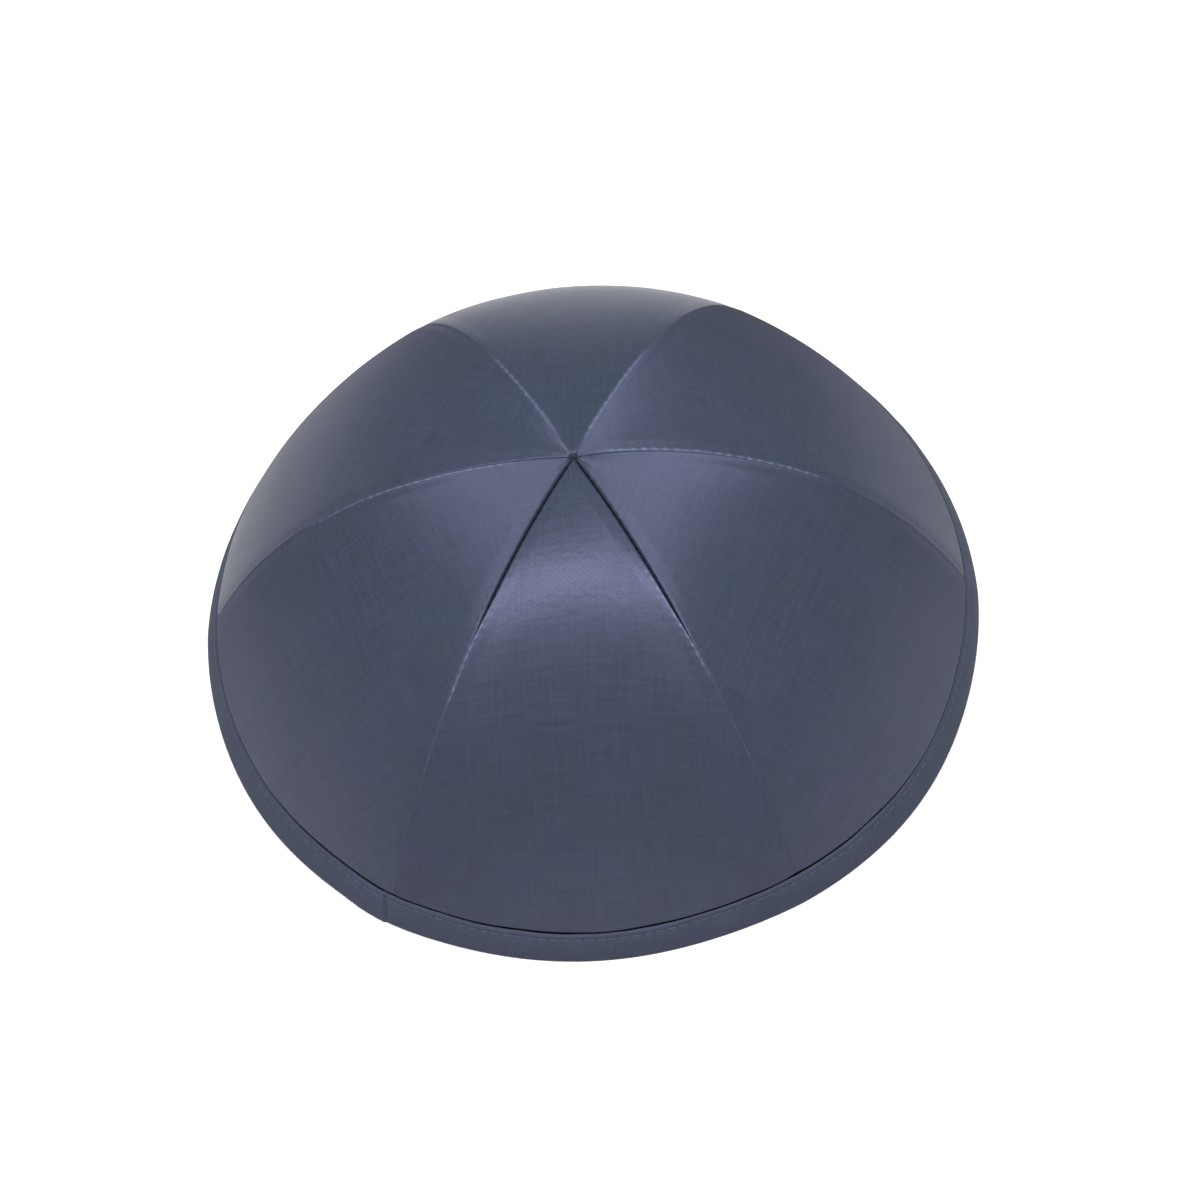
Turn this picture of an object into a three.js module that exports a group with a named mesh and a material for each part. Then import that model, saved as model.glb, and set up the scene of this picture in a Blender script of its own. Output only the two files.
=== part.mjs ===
// A domed kippah of navy satin: six gores sewn edge to edge, bound round the rim with bias tape.
// Millimetres, +Z up. The origin is the centre of the rim on the surface that the cap rests on,
// and the front gore faces -Y. Azimuths are degrees counter-clockwise from +X.
import * as THREE from "three";

const { lerp, smoothstep, degToRad, euclideanModulo } = THREE.MathUtils;

// Driving dimensions of the crown
const RIM_RADIUS = 82.5;
const CROWN_HEIGHT = 60.8;
const CROWN_LEVEL = 8.3;
const WALL_LEAN = degToRad(22.3);
const WALL_REACH = 66.3;
const TOP_LEANS_FORWARD = 4.4;
const TOP_LEANS_RIGHT = 0.7;
const FLATNESS_OF_GORE = { crown: 0.092, rim: 0.03 };

// Driving dimensions of the cloth
const CLOTH = 1.2;
const GAP = 0.3;
const SEAM_ALLOWANCE = { width: 5, thickness: 0.6 };
const SEAM_DIP = { width: 2.4, depth: 0.6 };
const SEAM_TAIL = 1.3;

// Driving dimensions of the binding
const BINDING_WIDTH = 8;
const BINDING_CLOTH = 1;
const BINDING_PUFF = 0.4;
const BINDING_FOLD = 0.7;
const HEM_HEIGHT = 2.5;
const DITCH_WIDTH = 2.6;
const BINDING_THICKNESS = 2 * BINDING_CLOTH + 2 * GAP + CLOTH;
const LAP = { azimuth: -127, length: 12, rise: 0.5, edge: 0.4 };

// Seams, in order round the crown: the azimuth at the top, half way down and at the rim
const SEAMS = [
  { seam: "front_left", top: -123.3, middle: -123.2, rim: -124.8 },
  { seam: "front_right", top: -65.6, middle: -65.6, rim: -64.8 },
  { seam: "right", top: -1.9, middle: -5.2, rim: -6.8 },
  { seam: "back_right", top: 55.6, middle: 57.0, rim: 56.5 },
  { seam: "back_left", top: 113.9, middle: 114.2, rim: 115.2 },
  { seam: "left", top: 177.9, middle: 178.2, rim: 176.8 },
];

// Places where the soft rim leaves a true circle: how far outwards, and over how many degrees
const RIM_BULGES = [
  { azimuth: -148, out: 0.7, spread: 18 },
  { azimuth: -77, out: -0.5, spread: 14 },
  { azimuth: -44, out: 1.1, spread: 18 },
];

// Gores, each from its own seam to the next one
const GORES = ["front", "front_right", "back_right", "back", "back_left", "front_left"];

// Rows of a gore: distance down the crown from the top, then height up the wall from the rim
const ROWS_DOWN = [SEAM_TAIL, 3.5, 8, 15, 23, 31, 39, 47, 55, 63, 71, 79, 87, 94];
const ROWS_UP = [
  BINDING_WIDTH + DITCH_WIDTH,
  BINDING_WIDTH + 0.4 * DITCH_WIDTH,
  BINDING_WIDTH,
  HEM_HEIGHT,
];

// Columns of a gore: distance from the nearer seam, then shares of the stretch between the last two
const COLUMNS_BY_SEAM = [GAP / 2, 1, SEAM_DIP.width, SEAM_ALLOWANCE.width, SEAM_ALLOWANCE.width + 0.5];
const COLUMNS_BETWEEN = [1 / 6, 2 / 6, 3 / 6, 4 / 6, 5 / 6];

// Section of the folded tape, once round: depth into the wall, and height up it
const TAPE_SECTION = [
  { place: "outer", depth: BINDING_FOLD, height: 0 },
  { place: "outer", depth: -0.5 * BINDING_PUFF, height: BINDING_FOLD },
  { place: "outer", depth: -BINDING_PUFF, height: 0.45 * BINDING_WIDTH },
  { place: "outer", depth: -0.5 * BINDING_PUFF, height: BINDING_WIDTH - 1 },
  { place: "outer", depth: 0.4 * BINDING_CLOTH, height: BINDING_WIDTH },
  { place: "channel", depth: BINDING_CLOTH, height: BINDING_WIDTH - BINDING_FOLD },
  { place: "channel", depth: BINDING_CLOTH, height: HEM_HEIGHT - GAP },
  { place: "channel", depth: BINDING_THICKNESS - BINDING_CLOTH, height: HEM_HEIGHT - GAP },
  { place: "inner", depth: BINDING_THICKNESS - BINDING_CLOTH, height: BINDING_WIDTH - BINDING_FOLD },
  { place: "inner", depth: BINDING_THICKNESS - 0.5 * BINDING_CLOTH, height: BINDING_WIDTH },
  { place: "inner", depth: BINDING_THICKNESS, height: BINDING_WIDTH - BINDING_FOLD },
  { place: "inner", depth: BINDING_THICKNESS, height: BINDING_FOLD },
  { place: "inner", depth: BINDING_THICKNESS - BINDING_FOLD, height: 0 },
];

// Where the tape's section is placed: evenly round the rim, and at distances from the lap's edge
const TAPE_STEPS = 104;
const LAP_STEPS = [-15, -12, -8.4, -4.8, -1.2, -0.4, 0, 0.4, 1.8];

// Looks
const SATIN = new THREE.MeshStandardMaterial({ color: 0x4a4f65, roughness: 0.45, metalness: 0 });
const TAPE = new THREE.MeshStandardMaterial({ color: 0x43485c, roughness: 0.55, metalness: 0 });

// The crown's side line, from the top (radius 0) to the rim (height 0)
const SIDE_LINE = new THREE.CubicBezierCurve(
  new THREE.Vector2(0, CROWN_HEIGHT),
  new THREE.Vector2(CROWN_LEVEL, CROWN_HEIGHT),
  new THREE.Vector2(
    RIM_RADIUS - WALL_REACH * Math.sin(WALL_LEAN),
    WALL_REACH * Math.cos(WALL_LEAN),
  ),
  new THREE.Vector2(RIM_RADIUS, 0),
);
SIDE_LINE.arcLengthDivisions = 400;
const SIDE_LENGTH = SIDE_LINE.getLength();

// Where a distance from the top falls on the side line, from 0 at the top to 1 at the rim
function downAt(distance) {
  return SIDE_LINE.getUtoTmapping(distance / SIDE_LENGTH);
}

// Azimuth of a seam, in radians
function seamAzimuth(index, down) {
  const turns = Math.floor(index / SEAMS.length);
  const { top, middle, rim } = SEAMS[index % SEAMS.length];
  const bent = lerp(lerp(top, middle, down), lerp(middle, rim, down), down);
  return degToRad(bent + 360 * turns);
}

// Which gore an azimuth falls in, and how far across it, from 0 at its own seam to 1 at the next
function acrossGore(azimuth, down) {
  for (let index = 0; index < SEAMS.length; index += 1) {
    const start = seamAzimuth(index, down);
    const width = seamAzimuth(index + 1, down) - start;
    const past = euclideanModulo(azimuth - start, 2 * Math.PI);
    if (past < width) return past / width;
  }
  return 0;
}

// How far the soft rim leaves a true circle at an azimuth
function rimBulge(azimuth) {
  return RIM_BULGES.reduce((sum, { azimuth: middle, out, spread }) => {
    const away = euclideanModulo(azimuth - degToRad(middle) + Math.PI, 2 * Math.PI) - Math.PI;
    return sum + out * Math.exp(-((away / degToRad(spread)) ** 2));
  }, 0);
}

// A point of the cap: down the side line from 0 at the top to 1 at the rim, round the crown,
// and depth in from the outer skin. A gore is flatter across than the circle through its seams.
function capPoint(down, azimuth, depth) {
  const side = SIDE_LINE.getPoint(down);
  const slope = SIDE_LINE.getTangent(down);
  const flatness = lerp(FLATNESS_OF_GORE.crown, FLATNESS_OF_GORE.rim, down ** 3);
  const fromMiddle = (acrossGore(azimuth, down) - 0.5) * (Math.PI / 3);
  const chord = Math.cos(fromMiddle) / Math.cos(Math.PI / 6);
  const radius = side.x / (1 - flatness + flatness * chord);
  const reach = radius + rimBulge(azimuth) * down ** 4 + depth * slope.y;
  return new THREE.Vector3(
    reach * Math.cos(azimuth) + TOP_LEANS_RIGHT * (1 - down),
    reach * Math.sin(azimuth) - TOP_LEANS_FORWARD * (1 - down),
    side.y - depth * slope.x,
  );
}

// A point of the wall by the rim: up the leaning wall from the surface that the cap rests on
function wallPoint(height, azimuth, depth) {
  return capPoint(downAt(SIDE_LENGTH - height - depth * Math.tan(WALL_LEAN)), azimuth, depth);
}

// Joins closed loops of points into one closed body. Each loop has the same number of points and
// runs counter-clockwise seen from the next loop. A ring of loops closes on itself, and a strip
// is capped across each of its two end loops.
function loftedBody(loops, isRing) {
  const size = loops[0].length;
  const positions = loops.flat().flatMap((point) => point.toArray());
  const faces = [];
  const quad = (a, b, c, d) => faces.push(a, b, c, a, c, d);
  const joins = isRing ? loops.length : loops.length - 1;
  for (let loop = 0; loop < joins; loop += 1) {
    const here = loop * size;
    const there = ((loop + 1) % loops.length) * size;
    for (let i = 0; i < size; i += 1) {
      const next = (i + 1) % size;
      quad(here + i, here + next, there + next, there + i);
    }
  }
  if (!isRing) {
    const last = (loops.length - 1) * size;
    for (let i = 0; i < size / 2 - 1; i += 1) {
      const facing = size - 1 - i;
      quad(i, facing, facing - 1, i + 1);
      quad(last + i, last + i + 1, last + facing - 1, last + facing);
    }
  }
  const geometry = new THREE.BufferGeometry();
  geometry.setAttribute("position", new THREE.Float32BufferAttribute(positions, 3));
  geometry.setIndex(faces);
  geometry.computeVertexNormals();
  return geometry;
}

// How far a gore's outer face lies below the skin: it rolls into the seams and under the tape
function goreDepth(fromSeam, upWall) {
  const seam = SEAM_DIP.depth * (1 - smoothstep(fromSeam, 0, SEAM_DIP.width));
  const tuck = 1 - smoothstep(upWall, BINDING_WIDTH, BINDING_WIDTH + DITCH_WIDTH);
  return lerp(seam, BINDING_CLOTH + GAP, tuck);
}

// A gore's thickness: the seam allowance is folded back inside it, and is trimmed off in the tape
function goreThickness(fromSeam, upWall) {
  const clearOfTape = smoothstep(upWall, BINDING_WIDTH + 1, BINDING_WIDTH + DITCH_WIDTH);
  const folded = fromSeam <= SEAM_ALLOWANCE.width + 0.01;
  return CLOTH + (folded ? SEAM_ALLOWANCE.thickness * clearOfTape : 0);
}

// Distances of a gore's columns from its own seam, where the gore is so wide
function columnDistances(width) {
  const nearest = COLUMNS_BY_SEAM[0];
  const furthest = COLUMNS_BY_SEAM.at(-1);
  const room = Math.min(1, (0.4 * width - nearest) / (furthest - nearest));
  const bySeam = COLUMNS_BY_SEAM.map((distance) => nearest + (distance - nearest) * room);
  const start = bySeam.at(-1);
  const between = COLUMNS_BETWEEN.map((share) => lerp(start, width - start, share));
  const byNextSeam = bySeam.map((distance) => width - distance).reverse();
  return [...bySeam, ...between, ...byNextSeam];
}

// One row of a gore: its outer face from seam to seam, then back along its inner face.
// pointAt places a point of the row by its azimuth and its depth.
function goreRow(index, upWall, pointAt) {
  const down = downAt(SIDE_LENGTH - upWall);
  const start = seamAzimuth(index, down);
  const turn = seamAzimuth(index + 1, down) - start;
  const width = turn * SIDE_LINE.getPoint(down).x;
  const outer = [];
  const inner = [];
  for (const column of columnDistances(width)) {
    const fromSeam = Math.min(column, width - column);
    const azimuth = start + (turn * column) / width;
    const depth = goreDepth(fromSeam, upWall);
    outer.push(pointAt(azimuth, depth));
    inner.push(pointAt(azimuth, depth + goreThickness(fromSeam, upWall)));
  }
  return [...outer, ...inner.reverse()];
}

function goreGeometry(index) {
  const crownRows = ROWS_DOWN.map((distance) =>
    goreRow(index, SIDE_LENGTH - distance, (azimuth, depth) => capPoint(downAt(distance), azimuth, depth)),
  );
  const wallRows = ROWS_UP.map((height) =>
    goreRow(index, height, (azimuth, depth) => wallPoint(height, azimuth, depth)),
  );
  return loftedBody([...crownRows, ...wallRows].reverse(), false);
}

// How far the lapped end of the tape stands proud, at a distance round the rim from its edge
function lapRise(fromEdge) {
  const step = 1 - smoothstep(fromEdge, -LAP.edge, LAP.edge);
  const fade = smoothstep(fromEdge, -LAP.length, -0.4 * LAP.length);
  return LAP.rise * step * fade;
}

// Distances round the rim at which the tape's section is placed, from the lap's edge
function tapeDistances() {
  const rimLength = 2 * Math.PI * RIM_RADIUS;
  const step = rimLength / TAPE_STEPS;
  const first = LAP_STEPS.at(-1) + step / 2;
  const last = rimLength + LAP_STEPS[0] - step / 2;
  const evenly = Array.from({ length: TAPE_STEPS }, (_, index) => index * step);
  return [...LAP_STEPS, ...evenly.filter((distance) => distance > first && distance < last)];
}

function tapeGeometry() {
  const loops = tapeDistances().map((distance) => {
    const azimuth = degToRad(LAP.azimuth) + distance / RIM_RADIUS;
    return TAPE_SECTION.map(({ place, depth, height }) => {
      const proud = place === "outer" ? lapRise(distance) : 0;
      const point = wallPoint(height, azimuth, depth - proud);
      if (height === 0) point.z = 0;
      return point;
    });
  });
  return loftedBody(loops.reverse(), true);
}

const kippah = new THREE.Group();
GORES.forEach((place, index) => {
  const panel = new THREE.Mesh(goreGeometry(index), SATIN);
  panel.name = `panel_${place}`;
  kippah.add(panel);
});
const binding = new THREE.Mesh(tapeGeometry(), TAPE);
binding.name = "rim_binding";
kippah.add(binding);

export default kippah;
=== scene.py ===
"""A domed kippah: six gores of navy satin sewn edge to edge, and a bias tape folded round the rim.

Metres, +Z up, the front gore towards -Y. Each gore is laid out as the cloth was cut, its edges
are rolled into the seams and folded back inside, and it is set on the crown's skin. The tape is
one folded section spun round the rim. Azimuths are degrees counter-clockwise from +X.
"""

import bisect
import math

import bmesh
import bpy
from mathutils import Matrix, Vector, noise


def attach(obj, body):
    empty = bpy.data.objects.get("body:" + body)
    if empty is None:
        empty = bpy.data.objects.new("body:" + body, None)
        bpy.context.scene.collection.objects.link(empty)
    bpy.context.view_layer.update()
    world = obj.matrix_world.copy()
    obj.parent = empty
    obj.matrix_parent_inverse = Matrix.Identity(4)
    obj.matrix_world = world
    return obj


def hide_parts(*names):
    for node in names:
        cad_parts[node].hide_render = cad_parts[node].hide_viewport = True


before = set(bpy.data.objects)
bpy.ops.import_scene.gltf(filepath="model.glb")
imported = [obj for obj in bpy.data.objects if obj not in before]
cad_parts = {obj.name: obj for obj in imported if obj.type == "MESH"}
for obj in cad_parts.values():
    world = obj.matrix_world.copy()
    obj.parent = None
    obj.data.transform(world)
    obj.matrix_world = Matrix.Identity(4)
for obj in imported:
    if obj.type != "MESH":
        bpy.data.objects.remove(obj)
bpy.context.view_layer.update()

MM = 0.001
UP = Vector((0, 0, 1))

# Shape of the crown
RIM_RADIUS = 82.5 * MM
CROWN_HEIGHT = 60.8 * MM
CROWN_LEVEL = 8.3 * MM
WALL_LEAN = math.radians(22.3)
WALL_REACH = 66.3 * MM
TOP_LEANS = Vector((0.7, -4.4)) * MM
FLATNESS_CROWN = 0.092
FLATNESS_RIM = 0.03

# Seams in order round the crown: azimuth at the top, the one it bends towards half way down, and
# azimuth at the rim
SEAMS = (
    {"seam": "front_left", "top": -123.3, "middle": -123.2, "rim": -124.8},
    {"seam": "front_right", "top": -65.6, "middle": -65.6, "rim": -64.8},
    {"seam": "right", "top": -1.9, "middle": -5.2, "rim": -6.8},
    {"seam": "back_right", "top": 55.6, "middle": 57.0, "rim": 56.5},
    {"seam": "back_left", "top": 113.9, "middle": 114.2, "rim": 115.2},
    {"seam": "left", "top": 177.9, "middle": 178.2, "rim": 176.8},
)

# How the seams have worn, and where their folds are painted paler. A crease stands open by a share of
# the widest gape, down to a distance from the top. Below that its two folds are pressed together up
# to an angle, in degrees round their roll, so that a larger angle leaves a shallower groove. The
# folded edges before and after the seam, going round the crown, are painted paler between two
# distances: partly rubbing, partly a painted highlight where the folds catch the light. The widest
# gape is a share of CREASE_GAPE at a stitch, and another share more between two
SEAM_WEAR = (
    {"open": 1.0, "to": 39 * MM, "shut": 58, "before": 0.2, "after": 1.1, "rubbed_and_lit": (34 * MM, 60 * MM)},
    {"open": 0.95, "to": 42 * MM, "shut": 58, "before": 1.2, "after": 0.3, "rubbed_and_lit": (26 * MM, 56 * MM)},
    {"open": 0.32, "to": 52 * MM, "shut": 54, "before": 0.1, "after": 0.9, "rubbed_and_lit": (3 * MM, 56 * MM)},
    {"open": 0.0, "to": 60 * MM, "shut": 68, "before": 0.9, "after": 0.9, "rubbed_and_lit": (2 * MM, 34 * MM)},
    {"open": 0.0, "to": 60 * MM, "shut": 66, "before": 0.7, "after": 0.7, "rubbed_and_lit": (4 * MM, 36 * MM)},
    {"open": 0.22, "to": 36 * MM, "shut": 56, "before": 0.1, "after": 1.0, "rubbed_and_lit": (8 * MM, 62 * MM)},
)
CREASE_GAPE = 0.16 * MM
GAPE_AT_STITCH = 0.65
GAPE_BETWEEN = 0.5
CREASE_FADE = 7 * MM
OPEN_ANGLE = 8
RUB_AND_SHEEN_FADE_IN = 6 * MM
RUB_AND_SHEEN_FADE_OUT = 8 * MM

# All seams are pressed flatter by the rim: up to this angle, between two distances from the top
RIM_ANGLE = 74
RIM_ANGLE_GROWS = (72 * MM, 100 * MM)

# The gores, some cut a little off the straight grain of the cloth, so that their sheens differ
GORES = (
    {"gore": "front", "off_grain": math.radians(0)},
    {"gore": "front_right", "off_grain": math.radians(-8)},
    {"gore": "back_right", "off_grain": math.radians(16)},
    {"gore": "back", "off_grain": math.radians(0)},
    {"gore": "back_left", "off_grain": math.radians(0)},
    {"gore": "front_left", "off_grain": math.radians(10.5)},
)

# Places where the soft rim leaves a true circle: how far outwards, over how many degrees
RIM_BULGES = (
    {"azimuth": -148, "out": 0.7 * MM, "spread": 18},
    {"azimuth": -125, "out": 0.35 * MM, "spread": 8},
    {"azimuth": -77, "out": -0.5 * MM, "spread": 14},
    {"azimuth": -44, "out": 1.1 * MM, "spread": 18},
)

# The cloth of the gores, and how it is folded into a seam
CLOTH = 0.6 * MM
ROLL_RADIUS = 0.62 * MM
SEAM_GAP = 0.015 * MM
ALLOWANCE = 5.5 * MM
ALLOWANCE_CURL = 0.25 * MM
CURL_WAVES = 60
CURL_SEED = 3.1
ALLOWANCE_CLEAR = 0.08 * MM

# How deep a seam lies, less and less between two distances from the top
SEAM_DEPTH_TOP = 0.2 * MM
SEAM_DEPTH_RIM = 0.13 * MM
SEAM_DEPTH_EASES = (8 * MM, 60 * MM)

# The thread's pull: it deepens the seam and is uneven, by waves to the metre and another seed for
# each seam. A fold is painted less pale where the thread holds it down: it is rubbed less there, and
# its painted highlight is weaker than where the cloth puffs up between two stitches
STITCH_PITCH = 2.15 * MM
STITCH_PULL = 0.04 * MM
STITCH_PULL_GROWS = (4 * MM, 12 * MM)
PULL_WAVES = 90
PULL_SEED = 7.3
HELD_DOWN = 0.8

# The part of a fold's turn, in degrees, over which its paler face starts, partly rubbed and partly a
# painted highlight, and how much of that paleness is lost again by the fold's top
RUB_AND_SHEEN_ANGLES = (30, 60)
RUB_AND_SHEEN_LOST = 0.6

# Most of a gore's half width that its roll and its gape may take up, where it narrows to its tip
ROLL_SHARE = 0.4
GAPE_SHARE = 0.45

# Where the gores meet at the top, they roll in, and their cloth thins to nothing
TIP = 0.08 * MM
APEX_ROLL = 1.1 * MM
APEX_DEPTH = 3.4 * MM
APEX_THINNING = 3 * MM

# Where a gore ends inside the tape, and the step between its rows on the way there
HEM_HEIGHT = 2.6 * MM
ROW_STEP = 0.45 * MM

# Unevenness of the sewn cloth: waves to the metre and height. It starts some way from the top
RIPPLES = (
    {"waves": 28, "height": 0.28 * MM, "seed": Vector((0, 0, 0))},
    {"waves": 75, "height": 0.07 * MM, "seed": Vector((0, 0, 3))},
)
RIPPLES_GROW = (2 * MM, 12 * MM)

# Columns of a gore, from the raw edge of its seam allowance to where it lies flat
ALLOWANCE_SHARES = (1.0, 0.93, 0.75, 0.5, 0.28, 0.1)
FOLD_ANGLES = (-90, -60, -30, 0)
SHOULDER_SHARES = (0.0, 0.25, 0.5, 0.75, 1.0)
DIP_SHARES = (0.15, 0.35, 0.6, 1.0)
DIP_WIDTH = 2.0 * MM
MIDDLE_COLUMNS = 48

# Rows of a gore, where it rolls in at the top and under the tape, and on down to its hem
ROLL_ANGLES = (0, 18, 36, 54, 72, 90)
HEM_SHARES = (0.25, 0.5, 0.75, 1.0)

# The tape: its upper and lower folds, its whole depth from outside to inside, and its steps round
# the rim. Its outside ends between two depths. Then how its upper edge wanders, how its face puckers
# at the stitches and ripples, and how its foot is rubbed
TAPE_WIDTH = 7.25 * MM
TAPE_CLOTH = 0.3 * MM
TAPE_FOLD = 0.34 * MM
FOOT_FOLD = 0.95 * MM
FOOT_DEPTH = 0.75 * MM
SOLE = (1.5 * MM, 2.3 * MM)
HEEL_FOLD = 0.8 * MM
TAPE_DEPTH = 3.7 * MM
TAPE_STEPS = 860
TAPE_OUTSIDE = (0.9 * MM, 1.4 * MM)
TAPE_WANDER = {"waves": 9, "seed": Vector((0, 3.7, 0)), "height": 0.22 * MM}
TAPE_PUCKER = {"spread": 0.6 * MM, "depth": 0.13 * MM}
TAPE_RIPPLE = {"waves_round": 22, "waves_up": 260, "depth": 0.10 * MM, "grows": (1 * MM, 3 * MM)}
FOOT_RUB = {"rub_and_sheen": 0.1, "height": 1.2 * MM}
EDGE_STITCH_DROP = 1.05 * MM
EDGE_STITCH_PITCH = 2.4 * MM

# The tape's outer face, from just above its stitches down: how far out of the flat, and height
TAPE_FACE = (
    {"out": 0.03 * MM, "height": TAPE_WIDTH - EDGE_STITCH_DROP + 0.35 * MM},
    {"out": 0.03 * MM, "height": TAPE_WIDTH - EDGE_STITCH_DROP},
    {"out": 0.06 * MM, "height": TAPE_WIDTH - EDGE_STITCH_DROP - 0.35 * MM},
    {"out": 0.13 * MM, "height": TAPE_WIDTH - EDGE_STITCH_DROP - 0.8 * MM},
    {"out": 0.22 * MM, "height": 0.6 * TAPE_WIDTH},
    {"out": 0.28 * MM, "height": 0.45 * TAPE_WIDTH},
    {"out": 0.24 * MM, "height": 0.28 * TAPE_WIDTH},
)

# The gores dive in under the tape, and leave a ditch above its upper edge, which wanders by a share
# of its width. Their rows follow the tape's edge up to some way above it
TUCK_DEPTH = 1.5 * MM
TUCK_ROLL = 1.0 * MM
DITCH = 0.24 * MM
DITCH_WANDER = {"waves": 7, "seed": Vector((5.1, 0, 0)), "share": 0.7}
FOLLOWS_TAPE = (TAPE_WIDTH + 3 * MM, TAPE_WIDTH + 14 * MM)
TUCKED_FLATTER = 0.35

# The lap: the tape's end over its start, with the slant of its edge and the line pressed beside it
LAP_AZIMUTH = -125.8
LAP_LENGTH = 12 * MM
LAP_RISE = 0.24 * MM
LAP_EDGE = 0.16 * MM
LAP_SLANT = 0.2
LAP_LINE_DEPTH = 0.42 * MM
LAP_LINE_AWAY = 0.3 * MM
LAP_LINE_WIDTH = 0.26 * MM

# Where the tape was caught wider or narrower: how much, over how many degrees
TAPE_DRIFTS = (
    {"azimuth": -147, "wider": 0.6 * MM, "spread": 22},
    {"azimuth": -97, "wider": -0.35 * MM, "spread": 14},
)

# Where the ditch above the tape stands wider
DITCH_DRIFTS = (
    {"azimuth": -134, "wider": 0.2 * MM, "spread": 8},
    {"azimuth": -72, "wider": 0.1 * MM, "spread": 12},
)

# Steps of the spun tape are gathered round the lap: how much closer, over how far (radians)
LAP_GATHER = 0.8
LAP_REACH = 0.05

# A stitch as it is modelled: sides round the thread, steps along it, and, in its own thicknesses,
# how far it arches between its holes and sinks at them
STITCH_SIDES = 6
STITCH_STEPS = 6
STITCH_ARCH = 0.35
STITCH_SINK = 0.7
STITCH_PINCH = 0.5

# The rows of stitches: thickness of the thread and the share of the pitch that a stitch spans. The
# tape is stitched through, with a row on its outer face and one inside
EDGE_THREAD = 0.17 * MM
EDGE_SPAN = (0.1, 0.9)
EDGE_ROWS = (
    {"depth": 0.02 * MM, "looks": 1},
    {"depth": TAPE_DEPTH + 0.06 * MM, "looks": -1},
)
SEAM_THREAD = 0.18 * MM
SEAM_SPAN = (0.06, 0.94)
SEAM_THREAD_DEPTH = 1.5 * MM
SEAM_THREAD_ENDS = 2 * MM

# Finishes of the two cloths. The highlight is drawn out across the threads, which are turned on the
# cloth by an angle. The weave's relief is a share of its full height
THREAD_WIDTH = 0.24 * MM
THREAD_RELIEF = 0.06 * MM
SHEEN_TINT = (0.62, 0.60, 1.0, 1)
SATIN_FINISH = {
    "dye": (0.0247, 0.0314, 0.0504, 1), "rough": 0.57, "gloss": 0.615, "drawn_out": 1.0,
    "turn": 0.0, "relief": 0.55,
}
TAPE_FINISH = {
    "dye": (0.026, 0.033, 0.052, 1), "rough": 0.66, "gloss": 0.3, "drawn_out": 0.6,
    "turn": math.radians(80), "relief": 0.6,
}

# The sewing thread: its dye and roughness, and how fine, uneven and high its twist is
THREAD_DYE = (0.038, 0.046, 0.071, 1)
THREAD_ROUGH = 0.5
TWIST_SCALE = 1600.0
TWIST_UNEVEN = 2.0
TWIST_RELIEF = {"strength": 0.5, "distance": 0.05 * MM}

# The dye's unevenness, from patches and from the yarns of both directions: waves to the metre across
# and down the cloth, detail, and how much it lightens. The rest of the lightness is even. The patches
# also shift the hue and the roughness, and a paler fold, partly rubbed and partly a painted highlight,
# is lighter in flecks
DYE_NOISE = (
    {"waves": (45, 45, 1), "detail": 3.0, "lightens": 0.4},
    {"waves": (1500, 90, 1), "detail": 2.0, "lightens": 0.4},
    {"waves": (90, 1400, 1), "detail": 2.0, "lightens": 0.45},
)
DYE_EVEN = 0.38
HUE_EVEN = 0.465
HUE_PATCHES = 0.07
ROUGH_PATCHES = 0.12
RUB_AND_SHEEN_FLECKS = {"waves": (1300, 1300, 1), "detail": 0.0, "lightens": 4.0}

# The weave: how deep a thread dips, as a share of its height, and how slack its threads lie
WEAVE_DIP = 0.85
WEAVE_SLACK = {"waves": (620, 560, 1), "detail": 3.0, "height": 1.4}

# The room: a pale world under one long lamp. Its back wall goes over to the warmer front wall between
# two directions along Y, and the camera sees plain white
ROOM_STRENGTH = 0.4
BACK_WALL = (0.92, 0.96, 1.0, 1)
FRONT_WALL = (1.3, 1.06, 0.98, 1)
FRONT_STARTS = 0.3
FRONT_FULL = -0.9
SEEN_WALL = (2.4, 2.4, 2.4, 1)
LAMP_PLACE = (0.02, -0.155, 1.28)
LAMP_SIZE = (1.1, 0.1)
LAMP_WATTS = 36

# The camera, set so that the cap fills the frame as it does in the photograph
CAMERA_DISTANCE = 495.1 * MM
CAMERA_ELEVATION = math.radians(57.7)
CAMERA_ROLL = math.radians(-7.2)
CAMERA_ASIDE = Vector((2.14, 1.25)) * MM
CAMERA_LENS = 69.34
CAMERA_SENSOR = 36.0

# The floor, a wide disc, greyer under the lamp than at its edge
FLOOR_RADIUS = 1.1
FLOOR_EVEN_TO = 0.3
FLOOR_GREY = 0.6
FLOOR_EDGE_GREY = 0.95
FLOOR_ROUGH = 0.7
FLOOR_GLOSS = 0.2


def smooth(value, low, high):
    """0 below low, 1 above high, eased between."""
    share = min(1.0, max(0.0, (value - low) / (high - low)))
    return share * share * (3 - 2 * share)


def mix(a, b, share):
    """A value part of the way from a to b."""
    return a + (b - a) * share


def ring_noise(azimuth, waves, seed):
    """Noise round the rim that meets itself, about -1 to 1."""
    return noise.noise(Vector((math.cos(azimuth), math.sin(azimuth), 0)) * waves + seed)


# The side line of the crown, a cubic curve of (radius, height) from the top to the rim
SIDE = (
    Vector((0, CROWN_HEIGHT)),
    Vector((CROWN_LEVEL, CROWN_HEIGHT)),
    Vector((RIM_RADIUS - WALL_REACH * math.sin(WALL_LEAN), WALL_REACH * math.cos(WALL_LEAN))),
    Vector((RIM_RADIUS, 0)),
)
SIDE_SAMPLES = 500


def side_point(down):
    """Radius and height of a place on the side line, 0 at the top and 1 at the rim."""
    a, b, c, d = SIDE
    rest = 1 - down
    return a * rest**3 + b * (3 * rest**2 * down) + c * (3 * rest * down**2) + d * down**3


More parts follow.
